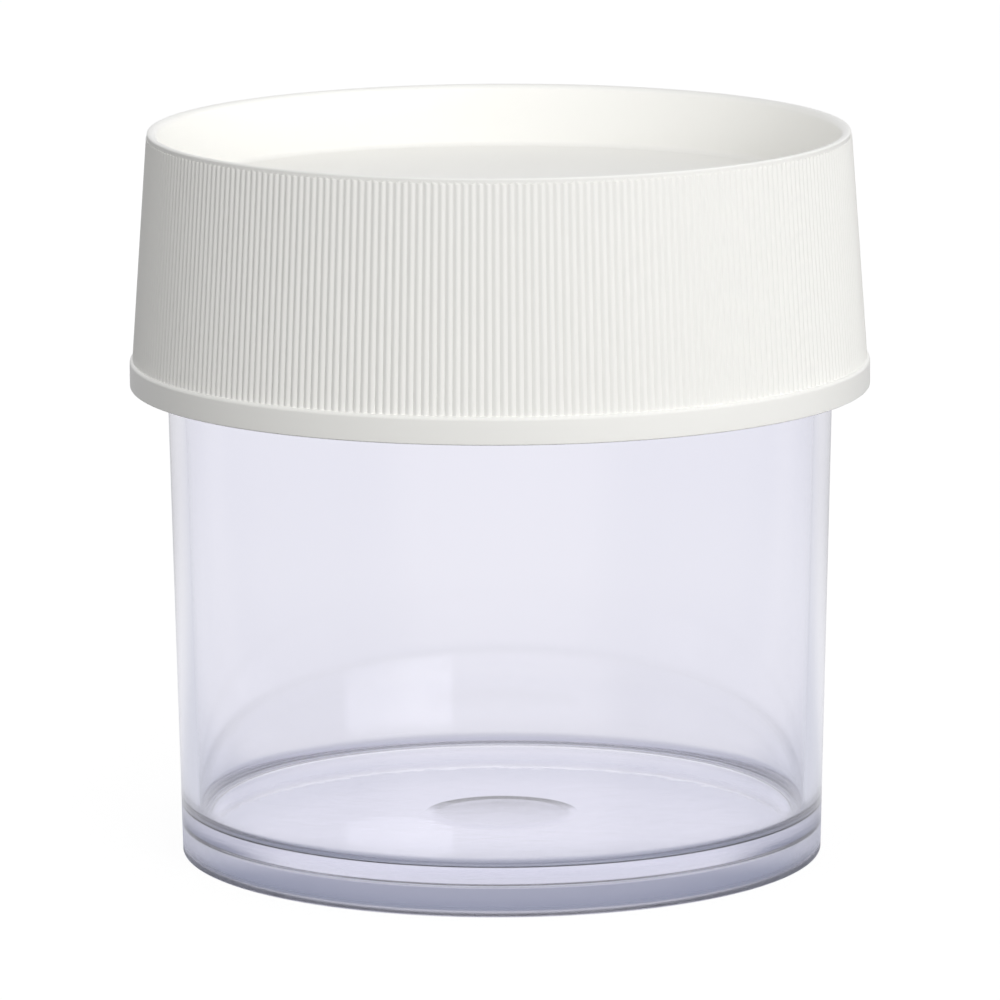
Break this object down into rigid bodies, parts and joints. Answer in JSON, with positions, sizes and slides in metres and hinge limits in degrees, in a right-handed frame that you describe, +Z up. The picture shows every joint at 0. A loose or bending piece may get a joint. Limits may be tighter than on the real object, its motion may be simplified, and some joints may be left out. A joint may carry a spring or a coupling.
{
  "type": "screw-cap staining jar",
  "caption": "Clear wide-mouth jar with a recessed foot and a fine-ribbed white screw cap whose top is recessed for stacking.",
  "frame": {"origin": "centre of the jar's foot ring, on the surface that the jar stands on", "axes": "+Z up along the axis of jar and cap, out of the cap's top; +X and +Y are any two level directions"},
  "size_m": [0.1, 0.1, 0.0986],
  "materials": {
    "clear_plastic": "clear, smooth moulded",
    "sealing_foam": "fine closed-cell foam",
    "white_plastic": "satin moulded"
  },
  "bodies": {
    "jar_body": {"jar": "clear_plastic"},
    "liner_body": {"cap_liner": "sealing_foam"},
    "cap_body": {"screw_cap": "white_plastic"}
  },
  "joints": [
    {"name": "cap_rise", "type": "slide", "parent": "jar_body", "child": "liner_body", "axis": [0, 0, 1], "range_m": [0, 0.0254]},
    {"name": "cap_turn", "type": "hinge", "parent": "liner_body", "child": "cap_body", "pos_m": [0, 0, 0.088], "axis": [0, 0, 1], "range_deg": [0, 1799.9]}
  ],
  "couplings": [
    {"joint": "cap_rise", "follows": "cap_turn", "m_per_rad": 0.00080851}
  ]
}
